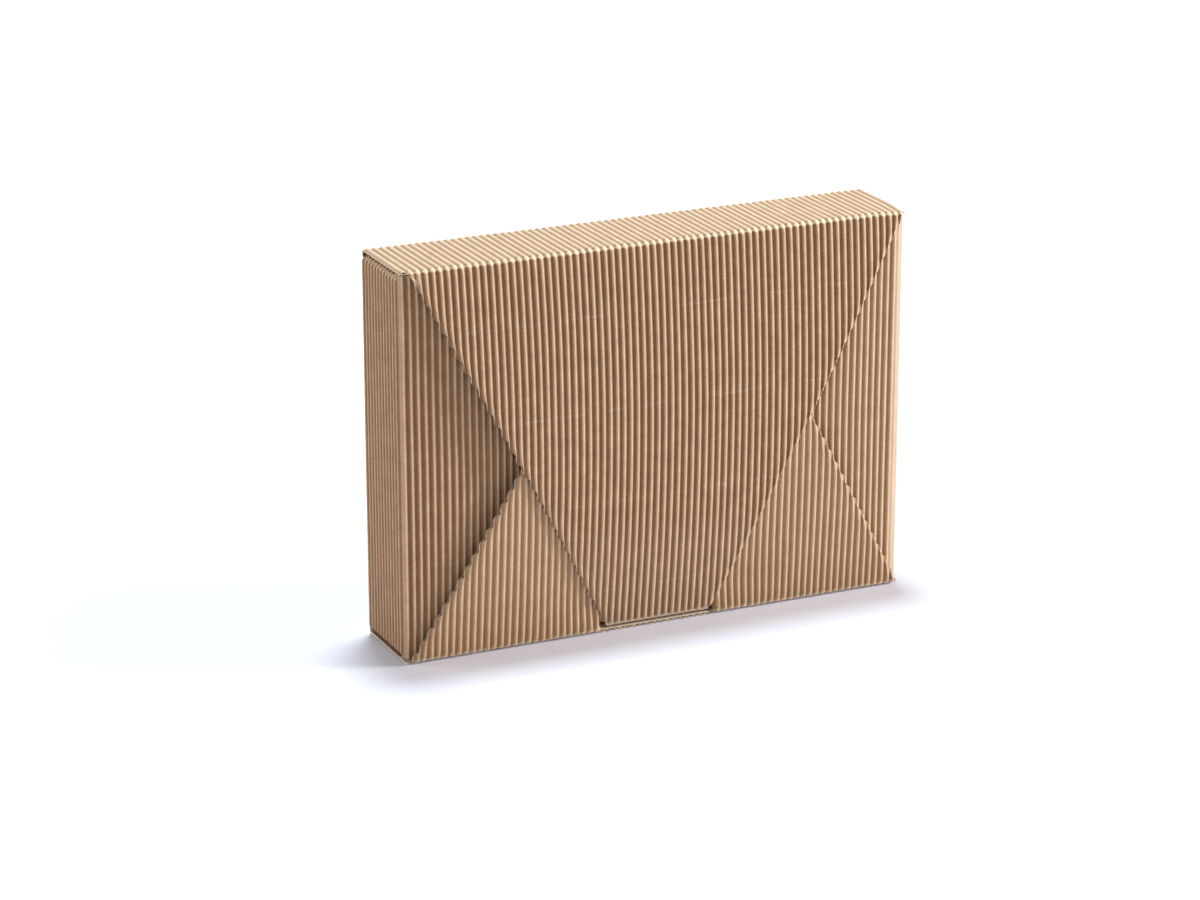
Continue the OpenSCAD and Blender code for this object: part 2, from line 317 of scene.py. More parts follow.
class Cut:
    """A straight cut through the flat board, which acts on the faces whose middle zone(u, v) takes.

    point lies on the cut and keep points to the side that stays. With no point, the whole zone goes.
    """

    def __init__(self, zone, point=None, keep=None):
        self.zone, self.point = zone, point
        self.keep = None if keep is None else np.array(keep, float) / np.linalg.norm(keep)


def slanted(at_crease, at_end, crease, end, side, zone):
    """The cut along a flap's slanted edge, from its crease to its end. side is 1 for the left edge."""
    along = np.array([at_end - at_crease, end - crease])
    keep = np.array([abs(along[1]) * side, -along[0] * side * math.copysign(1, along[1])])
    return Cut(zone, (at_crease, crease), keep)


def flat_grid(name, us, vs):
    """A flat grid with a column line at each u and a row line at each v, in millimetres."""
    bpy.ops.object.select_all(action="DESELECT")
    bpy.ops.mesh.primitive_grid_add(x_subdivisions=len(us) - 1, y_subdivisions=len(vs) - 1, size=1)
    piece = bpy.context.object
    piece.name = piece.data.name = name
    co = points_of(piece)
    columns = np.clip(np.round((co[:, 0] + 0.5) * (len(us) - 1)).astype(int), 0, len(us) - 1)
    rows = np.clip(np.round((co[:, 1] + 0.5) * (len(vs) - 1)).astype(int), 0, len(vs) - 1)
    set_points(piece, np.stack([np.array(us)[columns], np.array(vs)[rows], np.zeros(len(co))], 1))
    return piece


def points_of(piece):
    co = np.empty(len(piece.data.vertices) * 3)
    piece.data.vertices.foreach_get("co", co)
    return co.reshape(-1, 3)


def set_points(piece, co):
    piece.data.vertices.foreach_set("co", np.asarray(co, np.float32).ravel())
    piece.data.update()


def cut_out(piece, cut):
    """Makes one cut in a flat grid."""
    bpy.ops.object.mode_set(mode="EDIT")
    bpy.ops.mesh.select_mode(type="FACE")
    bpy.ops.mesh.select_all(action="DESELECT")
    bpy.ops.object.mode_set(mode="OBJECT")
    mesh = piece.data
    middle = np.empty(len(mesh.polygons) * 3)
    mesh.polygons.foreach_get("center", middle)
    middle = middle.reshape(-1, 3)
    mesh.polygons.foreach_set("select", cut.zone(middle[:, 0], middle[:, 1]))
    bpy.ops.object.mode_set(mode="EDIT")
    if cut.point is None:
        bpy.ops.mesh.delete(type="FACE")
    else:
        bpy.ops.mesh.bisect(plane_co=(*cut.point, 0), plane_no=(*cut.keep, 0), clear_inner=True,
                            threshold=1e-4)
    bpy.ops.object.mode_set(mode="OBJECT")


def drawn_back(cuts, u, v, amount):
    """How far each point moves away from the slanted cuts near it, in u and v."""
    du, dv = np.zeros(len(u)), np.zeros(len(u))
    for cut in cuts:
        if cut.point is not None:
            away = (u - cut.point[0]) * cut.keep[0] + (v - cut.point[1]) * cut.keep[1]
            fade = np.clip(1 - away / DRAWN_L, 0, 1) * cut.zone(u, v) * amount
            du, dv = du + cut.keep[0] * fade, dv + cut.keep[1] * fade
    return du, dv


def write_values(piece, **values):
    """Keeps a number for each point, which the paper's material reads."""
    for name, numbers in values.items():
        made = piece.data.attributes.new(name, "FLOAT", "POINT")
        made.data.foreach_set("value", np.asarray(numbers, np.float32))


def write_flat_place(piece, flat):
    """Keeps where each point lay on the flat board, so that the fibres follow the paper."""
    made = piece.data.attributes.new("flat_place", "FLOAT_VECTOR", "POINT")
    made.data.foreach_set("vector", np.asarray(flat * MM, np.float32).ravel())


def thicken(piece, thickness, outward):
    """Turns the faces outward and gives the sheet its thickness, half to each side."""
    normals = np.empty(len(piece.data.vertices) * 3)
    piece.data.vertices.foreach_get("normal", normals)
    if np.einsum("ij,ij->i", normals.reshape(-1, 3), outward).sum() < 0:
        bpy.ops.object.mode_set(mode="EDIT")
        bpy.ops.mesh.select_all(action="SELECT")
        bpy.ops.mesh.flip_normals()
        bpy.ops.object.mode_set(mode="OBJECT")
    wall = piece.modifiers.new("paper", "SOLIDIFY")
    wall.thickness, wall.offset, wall.use_even_offset = thickness * MM, 0, False
    wall.material_offset_rim = 1
    bpy.ops.object.modifier_apply(modifier=wall.name)


def place(x, y, z):
    """Points in millimetres, with the front creases at y = 0, as points of the frame in metres."""
    front = CAD_HIGH.y / MM - bpy.context.scene.mailer_fold.depth / MM
    return np.stack([np.asarray(x, float), y + front, z], 1) * MM


def board_piece(name, us, vs, cuts, fold, open_up, wear_and_painted_light=None, liner_us=None, painted_shade_power=1.0, handled=0.0):
    """One length of board: its fluted paper and its liner, cut flat, fluted, folded and joined.

    fold(u, v, out) gives the point in millimetres, open_up(u, v) how far the flutes stand up, and
    wear_and_painted_light(u, v) how pale the paper is from wear and from painted light, which without it
    follows from how far the flutes are crushed. A painted_shade_power over 1 deepens the painted shade in the
    troughs, and handled is the share of the warmer, paler brown painted in as fill light.
    """
    b = board()
    sheets = []
    for layer in ("medium", "liner"):
        columns = us
        if layer == "liner":
            columns = us[::LINER_STEP] if liner_us is None else liner_us
            columns = columns if columns[-1] == us[-1] else np.append(columns, us[-1])
        piece = flat_grid(f"{name}_{layer}", columns, vs)
        for cut in cuts:
            cut_out(piece, cut)
        flat = points_of(piece)
        u, v = flat[:, 0], flat[:, 1]
        opened = open_up(u, v)
        # How pale the paper is from wear and from painted light
        pale_here = 1 - opened if wear_and_painted_light is None else wear_and_painted_light(u, v)
        if layer == "medium":
            shift, height, lift = flute_form(b, u, v, opened)
            du, dv = drawn_back(cuts, u, v, lift * b["recede"])
            u, v, level = u + shift + du, v + dv, height - b["medium"] / 2
        else:
            crest = 0.5 + 0.5 * wave(b, u)
            du, dv = drawn_back(cuts, u, v, crest * b["recede"] * LINER_DRAWN)
            u, v, lift = u + du, v + dv, np.zeros(len(u))
            level = np.full(len(u), -b["medium"] - b["liner"] / 2)
        made, farther = place(*fold(u, v, level)), place(*fold(u, v, level + 1))
        set_points(piece, made)
        # painted_shade_power deepens the painted shade in the troughs
        write_values(piece, flute_lift=lift ** painted_shade_power * opened + CRUSHED_LIFT * (1 - opened), crease_wear=pale_here,
                     handled=np.full(len(u), handled))
        write_flat_place(piece, flat)
        paint(piece)
        thicken(piece, b[layer], farther - made)
        sheets.append(piece)
    bpy.ops.object.select_all(action="DESELECT")
    for sheet in sheets:
        sheet.select_set(True)
    bpy.context.view_layer.objects.active = sheets[0]
    bpy.ops.object.join()
    sheets[0].name = sheets[0].data.name = name
    bpy.ops.object.shade_smooth_by_angle(angle=SMOOTH_ANGLE)
    return sheets[0]


# Where the panels lie

BOARD_T = 1.65  # flute, fluted paper and liner together
FOLD_R, TOP_FOLD_R, SIDE_FOLD_R = 0.75, 0.45, 0.8  # radii of the folds at the level of the troughs
FLAP_END_Z, TONGUE_L = 2.75, 13.0  # lower end of the closing flap, and the tongue behind it
BOTTOM_FLAP_Z = 98.0  # upper end of the bottom flap
SLOT_HALF, SLOT_LIP, SLOT_TOP_Z = 27.5, 0.6, 5.4  # the tongue's slot, from under its crease up the front
CREASE_FADE = 3.0  # length below a front crease over which a flap takes up its bow

# Cut edges of the flaps, as x at the flap's crease and x at its other end
CLOSING_LEFT, CLOSING_RIGHT = (-117.0, -25.9), (119.3, 25.6)
BOTTOM_LEFT, BOTTOM_RIGHT = (-118.4, -59.2), (120.2, 68.2)

# The bow of the closing flap: how far from the middle it changes from side to side, where it starts under the
# top, the form of its arch, and the share of the way down at which it is pressed in
BOW_HALF, BOW_START = 75, 1.1
ARCH_SHIFT, ARCH_POWER = 0.98, 0.93
PRESS_START, PRESS_SPAN = 0.72, 0.28

# The lean of the bottom flap: its share on the left and on the right, its slope and how it tails off, and how
# it lies behind the closing flap
LEAN_SHARES = (0.95, 0.62)
LEAN_SLOPE, LEAN_TAIL = 0.107, 0.00026
FLAP_GAP, COVER_FADE, TUCK_ROUND, HOLD_Z = 0.15, 30, 1.2, 18
SLOT_HOLD, SLOT_HOLD_FADE = 4, 5

# The right end of the top front crease hangs down a little
CORNER_DROOP, DROOP_X, DROOP_FADE, DROOP_REACH = 0.8, 104, 16, 14

# Seams in the back and the bottom wall, where one length of board goes on from another
SEAM_DOWN = 8.0
SEAM_FLUTES = 35.5
SEAM_NOTCH = 2.6

# The side flaps, from their fold to their inner end, and their slanted edges after a short shoulder
SIDE_FOLD_Y, SIDE_END_IN = 3.05, 1.3
SIDE_FLAP_L = 62.0
SIDE_BEND_L, SIDE_BEND_R = 26.0, 120
SIDE_SLOPE = math.tan(math.radians(48.2))
SHOULDER_L, SHOULDER_UP = 6.5, 1.25
BULGE_ENDS, BULGE_PAST, BULGE_LOST = 20, 8, 0.6  # at its upper and lower end a side flap loses its bulge

# The corner tabs
TAB_Z = 3.45
TAB_L = 30.0
TAB_SETBACK = 2.0
TAB_MARGIN = 1  # how far past its ends the crease of a tab still flattens the flutes
TAB_NARROWS = 0.25

# Column lines beside a fold, in the fluted paper and in the liner: how many on each side and how far apart
FOLD_COLUMNS, FOLD_STEP = 7, 0.17
LINER_FOLD_COLUMNS, LINER_FOLD_STEP = 3, 0.34


def main_path():
    """The long strip seen from the side, from the tongue up the closing flap, back over the top wall, down
    the back, forward under the bottom wall and up the bottom flap, in Y and Z."""
    b = board()
    depth = bpy.context.scene.mailer_fold.depth / MM
    low, high, back = b["height"], BOX_H - b["height"], depth - b["height"]
    points = [(low + TONGUE_L, FLAP_END_Z), (low, FLAP_END_Z), (low, high), (back, high), (back, low),
              (low, low), (low, BOTTOM_FLAP_Z)]
    return Path(points, [FOLD_R, TOP_FOLD_R, FOLD_R, FOLD_R, FOLD_R], zero_at=[1])


def side_path():
    """The band seen from above, from the left side flap round the back to the right side flap, in X and Y."""
    b, p = board(), bpy.context.scene.mailer_fold
    side, back = BOX_W / 2 - b["height"], p.depth / MM - b["height"]
    bend_x, end_x = side - SIDE_BEND_L, side - SIDE_FLAP_L
    bend_y, end_y = SIDE_FOLD_Y - p.side_bulge / MM, SIDE_FOLD_Y + SIDE_END_IN
    left = [(-end_x, end_y), (-bend_x, bend_y), (-side, SIDE_FOLD_Y), (-side, back)]
    return Path(left + [(-x, y) for x, y in reversed(left)], [SIDE_BEND_R, *[SIDE_FOLD_R] * 4, SIDE_BEND_R],
                zero_at=[2, 3])


def tab_path(upper):
    """A side wall with its two corner tabs, as distance out from the wall and Z.

    upper is v at the upper crease.
    """
    high = BOX_H - TAB_Z
    path = Path([(-TAB_L, high), (0, high), (0, TAB_Z), (-TAB_L, TAB_Z)], [FOLD_R] * 2, zero_at=[0])
    path.length = path.length + upper
    path.corners = [c + upper for c in path.corners]
    return path


def closing_bow(x, z):
    """How far the crests of the closing flap stand out, level with the front creases where it is 0."""
    p = bpy.context.scene.mailer_fold
    left, middle, right = p.bow_left / MM, p.bow_middle / MM, p.bow_right / MM
    across = x / BOW_HALF
    bow = np.where(across < 0, middle + (left - middle) * smooth_step(-across),
                   middle + (right - middle) * smooth_step(across))
    top = BOX_H - BOW_START
    down = np.clip((top - z) / (top - FLAP_END_Z), 0, 1)
    arch = np.sin(math.pi * down ** ARCH_SHIFT) ** ARCH_POWER
    press = p.press_in / MM * smooth_step((down - PRESS_START) / PRESS_SPAN)
    return bow * arch - press


def bottom_lean(x, z):
    """How far the bottom flap's crests stand out, free at its corners, tucked behind the closing flap."""
    free = np.where(x < 0, *LEAN_SHARES) * (LEAN_SLOPE * z - LEAN_TAIL * z * z)
    behind = closing_bow(x, z) - BOARD_T - FLAP_GAP
    span = np.clip((BOX_H - z) / BOX_H, 0, 1)
    left, right = (edge[0] + (edge[1] - edge[0]) * span for edge in (CLOSING_LEFT, CLOSING_RIGHT))
    covered = smooth_step(1 - np.maximum(left - x, x - right) / COVER_FADE)
    tucked = -smooth_max(-free, -behind, TUCK_ROUND)
    at_slot = smooth_step((SLOT_HALF + SLOT_HOLD - np.abs(x)) / SLOT_HOLD_FADE)
    hold = np.maximum(smooth_step(z / HOLD_Z), at_slot)
    return free + (tucked - free) * covered * hold


def fold_main(path):
    """Folds the long strip and gives its two front flaps their bow."""
    top_front, bottom_front = path.corners[1], path.corners[4]

    def fold(u, v, out):
        y, z = path.at(v, out)
        flat_z = path.at(v, np.zeros_like(v))[1]
        closing = smooth_step((top_front - v) / CREASE_FADE)
        bottom = smooth_step((v - bottom_front) / CREASE_FADE)
        y = y - closing * closing_bow(u, flat_z) - bottom * bottom_lean(u, flat_z)
        near_top = 1 - smooth_step(np.abs(v - top_front) / DROOP_REACH)
        z = z - CORNER_DROOP * smooth_step((u - DROOP_X) / DROOP_FADE) * near_top
        return u, y, z

    return fold


def fold_side(path, tabs):
    """Folds the band of side flaps, side walls and back, and the corner tabs at the ends of the walls."""
    front_fold = path.corners[4]
    low, high = BOX_H / 2 - BULGE_ENDS, BOX_H / 2 - TAB_Z

    def fold(u, v, out):
        away, z = tabs.at(v, out)
        beside_tab = np.abs(u) > front_fold - TAB_SETBACK - 0.01
        away = np.where(beside_tab, out, away)
        z = np.where(beside_tab, BOX_H - TAB_Z + tabs.corners[0] - v, z)
        x, y = path.at(u, away)
        on_flap = smooth_step((np.abs(u) - front_fold) / BULGE_PAST)
        towards_end = smooth_step((np.abs(z - BOX_H / 2) - low) / (high - low))
        bulge = SIDE_FOLD_Y - path.at(u, np.zeros_like(u))[1]
        return x, y + on_flap * towards_end * np.clip(bulge, 0, None) * BULGE_LOST, z

    return fold


def thinned(lines, kept, gap=0.05):
    """Column lines in order, without those that lie too close to a line that is kept or to the one before."""
    lines = np.sort([line for line in lines if min(abs(line - k) for k in kept) > gap])
    lines = lines[np.concatenate([[True], np.diff(lines) > gap])]
    return np.sort(np.concatenate([lines, kept]))


def beside(folds, count, step):
    """Column lines round each fold, a step apart and count of them on each side."""
    return [fold + k * step for fold in folds for k in range(-count, count + 1)]


def columns_between(start, end, b, folds=(), cuts=()):
    """Column lines, samples to a flute with one on each crest, and more of them round the folds."""
    step = b["pitch"] / b["samples"]
    inside = np.arange(math.ceil(start / step + 0.01), math.floor(end / step - 0.01) + 1) * step
    return thinned(np.concatenate([inside, beside(folds, FOLD_COLUMNS, FOLD_STEP)]), (start, end, *cuts))


def full_width(b):
    """Column lines of the lengths that reach from side to side."""
    return columns_between(-b["width"] / 2, b["width"] / 2, b)


# The lengths of board

FRONT_ROW, PLAIN_ROW = 5.0, 6.0  # the longest faces along the flutes, in the bowed flaps and elsewhere

# Half the width of the strip at a crease where the flutes are quite flat
LID_FLAT, BACK_FLAT, FOLD_FLAT, TAB_FLAT, BOTTOM_FLAT = 0.4, 0.5, 0.15, 0.2, 0.2

# The lid's flutes at the top front crease, which keep a part of their height, and its corner pressed flat
TOP_KEPT, TOP_BEHIND = 0.2, 0.6
CORNER_X, CORNER_R, CORNER_DOWN, CORNER_FLAT = 115, 4.5, 4, 0.75
# The lid's paleness: pale scallops along that crease, of crushed fibres with painted highlights on the crest
# ends, painted sheen over the top wall and painted fill light on the lower part of the closing flap
SCALLOP_MEAN, SCALLOP_WAVE, SCALLOP_NOISE, SCALLOP_FROM, SCALLOP_L = 0.75, 0.4, 0.25, 0.2, 0.9
# Near the crease the scallops, crushed fibres with painted highlights on the crest ends, take the place of
# the crushed flutes' wear
SCALLOPED = 3  # up to here the scallops stand for the wear of crushed flutes
TOP_PAINTED_SHEEN, TOP_PAINTED_SHEEN_FROM, TOP_PAINTED_SHEEN_FADE = 0.5, 0.6, 1.5
FLAP_PAINTED_LIFT, FLAP_PAINTED_LIFT_FROM, FLAP_PAINTED_LIFT_FADE = 0.38, 60, 90

# Each side: its name, its sign, the width of the pressed band at its front fold, how much painted shade
# darkens its troughs, the share of painted fill light that lifts it, and how pale the band is
SIDES = (("left_side", -1, 1.1, 1.7, 0.05, 0.0), ("right_side", 1, 4.2, 0.9, 0.2, 0.75))
BAND_FLAT = 0.3  # share of the band that is quite flat
FOLD_CRUSH, TAB_CRUSH, TAB_PALE = 1.3, 1.2, 0.5
PALE_MIDDLE, PALE_HALF, PALE_FADE = 1.6, 0.8, 1.8

# The bottom flap's crease keeps a part of its flutes, all of them at the slot, and is pale with ragged teeth
# of crushed fibres with painted highlights on the crest ends
BOTTOM_KEPT, SLOT_OPEN, SLOT_OPEN_FADE = 0.25, 1, 1.5
RAGGED_PALE, RAGGED_MEAN, RAGGED_WAVE, RAGGED_NOISE = 0.9, 2.1, 0.9, 0.6
# Painted fill light: the share of the paler, warmer brown mixed into the bottom flap
BOTTOM_PAINTED_LIFT = 0.27


class MAILER_OT_lid(bpy.types.Operator):
    """Build the top wall with the closing flap and its tongue, as one length of board"""

    bl_idname = "mailer.lid"
    bl_label = "Top wall and closing flap"

    def execute(self, context):
        b, path = board(), main_path()
        lower, top_front, top_back = path.corners[:3]
        vs = rows_along(path.length[0], top_back + SEAM_DOWN, (lower, top_front, top_back), FRONT_ROW)
        seam_u = SEAM_FLUTES * b["pitch"]
        on_flap = lambda u, v: v < top_front
        cuts = [slanted(*CLOSING_LEFT, top_front, lower, 1, on_flap),
                slanted(*CLOSING_RIGHT, top_front, lower, -1, on_flap),
                Cut(lambda u, v: (np.abs(u) > seam_u) & (v > top_back + SEAM_NOTCH))]

        def open_up(u, v):
            past = v - top_front
            corner = np.exp(-((u + CORNER_X) / CORNER_R) ** 2 - ((past + CORNER_DOWN) / CORNER_DOWN) ** 2)
            crush = b["crush_top"] * np.where(v > top_front, TOP_BEHIND, 1)
            top = TOP_KEPT + (1 - TOP_KEPT) * smooth_step(np.abs(past) / crush)
            others = smooth_step((nearest(v, lower, top_back) - LID_FLAT) / b["crush"])
            return others * top * (1 - CORNER_FLAT * corner)

        def wear_and_painted_light(u, v):
            past = v - top_front
            # Pale scallops along the top front crease: crushed fibres, with painted highlights on the crest
            # ends
            ragged = SCALLOP_NOISE * soft_noise(u / 1.7, v / 1.1, 31)
            broken = SCALLOP_MEAN + SCALLOP_WAVE * wave(b, u) + ragged
            scallops = broken * (1 - smooth_step((np.abs(past) - SCALLOP_FROM) / SCALLOP_L))
            # Painted sheen over the top wall
            top = TOP_PAINTED_SHEEN * smooth_step((past - TOP_PAINTED_SHEEN_FROM) / TOP_PAINTED_SHEEN_FADE) * (v < top_back)
            # Painted fill light, paler towards the lower end of the closing flap
            flap = FLAP_PAINTED_LIFT * smooth_step((-past - FLAP_PAINTED_LIFT_FROM) / FLAP_PAINTED_LIFT_FADE)
            crushed = (1 - open_up(u, v)) * (np.abs(past) > SCALLOPED)
            return np.maximum.reduce([crushed, scallops, top + flap])

        lid = board_piece("closing_flap_and_top", full_width(b), vs, cuts, fold_main(path), open_up, wear_and_painted_light)
        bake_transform(lid)
        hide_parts("closing_flap")
        return {"FINISHED"}


class MAILER_OT_back(bpy.types.Operator):
    """Build the back panel and the bottom wall, as one length of board"""

    bl_idname = "mailer.back"
    bl_label = "Back panel and bottom wall"

    def execute(self, context):
        b, path = board(), main_path()
        top_back, bottom_back, bottom_front = path.corners[2:]
        vs = rows_along(top_back + SEAM_DOWN, bottom_front - SEAM_DOWN, (bottom_back,), PLAIN_ROW)
        seam_u = SEAM_FLUTES * b["pitch"]
        cuts = [Cut(lambda u, v: (np.abs(u) > seam_u) & (v < bottom_back - SEAM_NOTCH))]

        def open_up(u, v):
            return smooth_step((np.abs(v - bottom_back) - BACK_FLAT) / b["crush"])

        back = board_piece("back_panel", full_width(b), vs, cuts, fold_main(path), open_up)
        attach(back, "box")
        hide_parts("box_body")
        return {"FINISHED"}


class MAILER_OT_sides(bpy.types.Operator):
    """Build the two sides, each a side wall with its corner tabs and its side flap"""

    bl_idname = "mailer.sides"
    bl_label = "Side walls and side flaps"

    def execute(self, context):
        b, path = board(), side_path()
        top_back = main_path().corners[2]
        tabs = tab_path(top_back + TAB_Z - b["height"])
        upper, lower = tabs.corners
        back_fold, front_fold, end = path.corners[3], path.corners[4], path.length[-1]
        vs = rows_along(upper - TAB_L, lower + TAB_L, (upper, lower), PLAIN_ROW)
        tab_start, tab_end = back_fold + TAB_SETBACK, front_fold - TAB_SETBACK
        flap_top, flap_bottom = upper - SHOULDER_UP, lower + SHOULDER_UP
        folds, tab_edges = (back_fold, front_fold), (tab_start, tab_end)
        near_tab = lambda u: (np.abs(u) > tab_start - TAB_MARGIN) & (np.abs(u) < tab_end + TAB_MARGIN)
        for name, side, band, painted_shade_power, handled, pale in SIDES:
            columns = columns_between(SEAM_FLUTES * b["pitch"], end, b, folds, tab_edges)
            bends = beside(folds, LINER_FOLD_COLUMNS, LINER_FOLD_STEP)
            liner = np.concatenate([columns[::SIDE_LINER_STEP], bends])
            liner = thinned(liner, (columns[0], end, *tab_edges))
            if side < 0:
                columns, liner = -columns[::-1], -liner[::-1]
            beyond = lambda u, v: ((v < upper) | (v > lower)) & (u * side < tab_start)
            past_shoulder = lambda u, v: ((v < flap_top) | (v > flap_bottom)) & (u * side > tab_end)
            on_flap = lambda u, v: u * side > front_fold + 0.5 * SHOULDER_L
            on_upper = lambda u, v: (v < upper) & (u * side < tab_end)
            on_lower = lambda u, v: (v > lower) & (u * side < tab_end)
            neck = side * (front_fold + SHOULDER_L)
            cuts = [Cut(beyond), Cut(past_shoulder),
                    Cut(on_flap, (neck, flap_top), (-side * SIDE_SLOPE, 1)),
                    Cut(on_flap, (neck, flap_bottom), (-side * SIDE_SLOPE, -1))]
            for edge, inward in ((tab_start, side), (tab_end, -side)):
                cuts += [Cut(on_upper, (side * edge, upper), (inward, TAB_NARROWS)),
                         Cut(on_lower, (side * edge, lower), (inward, -TAB_NARROWS))]

            def open_up(u, v):
                past = np.abs(u) - front_fold
                on_flap_side = smooth_step((past - BAND_FLAT * band) / ((1 - BAND_FLAT) * band))
                at_front = np.where(past > 0, on_flap_side, smooth_step(-past / FOLD_CRUSH))
                at_back = smooth_step((np.abs(np.abs(u) - back_fold) - FOLD_FLAT) / FOLD_CRUSH)
                at_tab = np.where(near_tab(u), nearest(v, upper, lower), np.inf)
                return at_back * at_front * smooth_step((at_tab - TAB_FLAT) / TAB_CRUSH)

            def wear_and_painted_light(u, v):
                off_tab = smooth_step(nearest(v, upper, lower) / TAB_CRUSH)
                at_tab = np.where(near_tab(u), TAB_PALE * (1 - off_tab), 0)
                off_band = np.abs(np.abs(u) - front_fold - PALE_MIDDLE) - PALE_HALF
                return np.maximum(at_tab, pale * (1 - smooth_step(off_band / PALE_FADE)))

            wall = board_piece(name, columns, vs, cuts, fold_side(path, tabs), open_up, wear_and_painted_light, liner, painted_shade_power,
                               handled)
            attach(wall, "box")
        return {"FINISHED"}


class MAILER_OT_bottom_flap(bpy.types.Operator):
    """Build the bottom flap with the front of the bottom wall and the slot for the tongue"""

    bl_idname = "mailer.bottom_flap"
    bl_label = "Bottom flap"

    def execute(self, context):
        b, path = board(), main_path()
        bottom_front, end = path.corners[4], path.length[-1]
        vs = rows_along(bottom_front - SEAM_DOWN, end, (bottom_front,), FRONT_ROW)
        lip, slot_top = bottom_front - SLOT_LIP, bottom_front + SLOT_TOP_Z - b["height"]
        on_flap = lambda u, v: v > bottom_front
        cuts = [slanted(*BOTTOM_LEFT, bottom_front, end, 1, on_flap),
                slanted(*BOTTOM_RIGHT, bottom_front, end, -1, on_flap),
                Cut(lambda u, v: (np.abs(u) < SLOT_HALF) & (v > lip) & (v < slot_top))]

        def open_up(u, v):
            at_slot = smooth_step((SLOT_HALF + SLOT_OPEN - np.abs(u)) / SLOT_OPEN_FADE)
            risen = smooth_step((np.abs(v - bottom_front) - BOTTOM_FLAT) / b["crush"])
            crushed = BOTTOM_KEPT + (1 - BOTTOM_KEPT) * risen
            return crushed + (1 - crushed) * at_slot

        def wear_and_painted_light(u, v):
            # Pale ragged teeth along the crease: crushed fibres, with painted highlights on the crest ends
            ragged = RAGGED_MEAN + RAGGED_WAVE * wave(b, u) + RAGGED_NOISE * soft_noise(u / 2.3, v * 0, 37)
            return RAGGED_PALE * (1 - smooth_step((v - bottom_front) / ragged))

        flap = board_piece("bottom_flap", full_width(b), vs, cuts, fold_main(path), open_up, wear_and_painted_light,
                           handled=BOTTOM_PAINTED_LIFT)
        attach(flap, "box")
        return {"FINISHED"}


# Materials


class Nodes:
    """Adds nodes to a material or a world and links them."""

    def __init__(self, owner):
        owner.use_nodes = True
        self.tree = owner.node_tree

    def feed(self, socket, value):
        """Links a socket to another one, or sets it."""
        if isinstance(value, bpy.types.NodeSocket):
            self.tree.links.new(value, socket)
        else:
            socket.default_value = value

    def node(self, kind, **settings):
        new = self.tree.nodes.new(kind)
        for key, value in settings.items():
            setattr(new, key, value)
        return new

    def value_of(self, attribute, output="Fac"):
        return self.node("ShaderNodeAttribute", attribute_name=attribute).outputs[output]

    def noise(self, scale, detail, stretch=(1, 1, 1)):
        """Noise that is fixed to the flat board."""
        mapping, new = self.node("ShaderNodeMapping"), self.node("ShaderNodeTexNoise")
        self.feed(mapping.inputs["Vector"], self.value_of("flat_place", "Vector"))
        self.feed(mapping.inputs["Scale"], stretch)
        self.feed(new.inputs["Vector"], mapping.outputs["Vector"])
        self.feed(new.inputs["Scale"], scale)
        self.feed(new.inputs["Detail"], detail)
        return new.outputs["Fac"]

    def spread(self, value, low, high, to_low=0.0, to_high=1.0, **settings):
        new = self.node("ShaderNodeMapRange", **settings)
        names = ("Value", "From Min", "From Max", "To Min", "To Max")
        for name, number in zip(names, (value, low, high, to_low, to_high)):
            self.feed(new.inputs[name], number)
        return new.outputs["Result"]

    def math(self, operation, first, second):
        new = self.node("ShaderNodeMath", operation=operation)
        self.feed(new.inputs[0], first)
        self.feed(new.inputs[1], second)
        return new.outputs[0]

    def mix(self, factor, first, second, blend="MIX"):
        """Mixes two colours, each an output of a node or a colour of three numbers."""
        new = self.node("ShaderNodeMix", data_type="RGBA", blend_type=blend)
        self.feed(new.inputs[0], factor)
        for key, colour in ((6, first), (7, second)):
            self.feed(new.inputs[key], colour if isinstance(colour, bpy.types.NodeSocket) else (*colour, 1))
        return new.outputs[2]


# The colours that three patterns multiply the paper by
MOTTLED, FIBROUS, SPECKED = (0.83, 0.80, 0.77), (1.2, 1.21, 1.22), (0.62, 0.55, 0.5)
MOTTLE_SCALE, FIBRE_SCALE, SPECK_SCALE, MARK_SCALE, BUMP_SCALE, EDGE_SCALE = 140, 1500, 2600, 90, 2200, 1800
ALONG_FIBRES = (0.2, 1.0, 1.0)
BUMP_STRENGTH, BUMP_HEIGHT = 0.35, 0.00006
# The half widths of a cross mark in metres, and how pale it is
MARK_NEAR, MARK_FAR, MARK_PALE = 0.0002, 0.0009, 0.24


def paint(piece):
    """Gives a piece the kraft paper, and its cut edges their pale fibres."""
    piece.data.materials.clear()
    piece.data.materials.append(kraft_paper())
    piece.data.materials.append(cut_paper())


def new_paper(name):
    """A new material with the paper's gloss and sheen, its nodes and its shader."""
    p = bpy.context.scene.mailer_paper
    made = bpy.data.materials.new(name)
    n = Nodes(made)
    shader = made.node_tree.nodes["Principled BSDF"]
    shader.inputs["Roughness"].default_value = p.roughness
    shader.inputs["Specular IOR Level"].default_value = 0.3
    shader.inputs["Sheen Weight"].default_value = p.sheen
    shader.inputs["Sheen Roughness"].default_value = 0.5
    return made, n, shader


